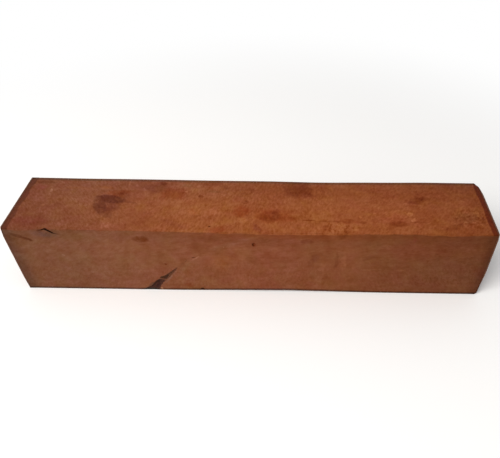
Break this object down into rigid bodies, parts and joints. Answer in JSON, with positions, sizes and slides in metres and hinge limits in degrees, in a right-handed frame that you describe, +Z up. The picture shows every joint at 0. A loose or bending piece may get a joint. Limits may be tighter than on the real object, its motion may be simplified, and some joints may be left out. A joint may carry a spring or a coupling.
{
  "type": "wood turning blank",
  "caption": "Square hardwood length with waxed ends and natural flaws, held between centres on a lathe and turned to a round shape.",
  "frame": {"origin": "middle of the underside, on the level surface that the blank lies on", "axes": "+X along the grain towards the right end, -Y out of the front face that has the bark pocket, +Z up"},
  "size_m": [0.305, 0.0536, 0.0535],
  "materials": {
    "waxed_hardwood": "sawn and sanded red-brown hardwood under a thin coat of wax, satin"
  },
  "bodies": {
    "root": {"turning_blank": "waxed_hardwood"}
  },
  "joints": []
}
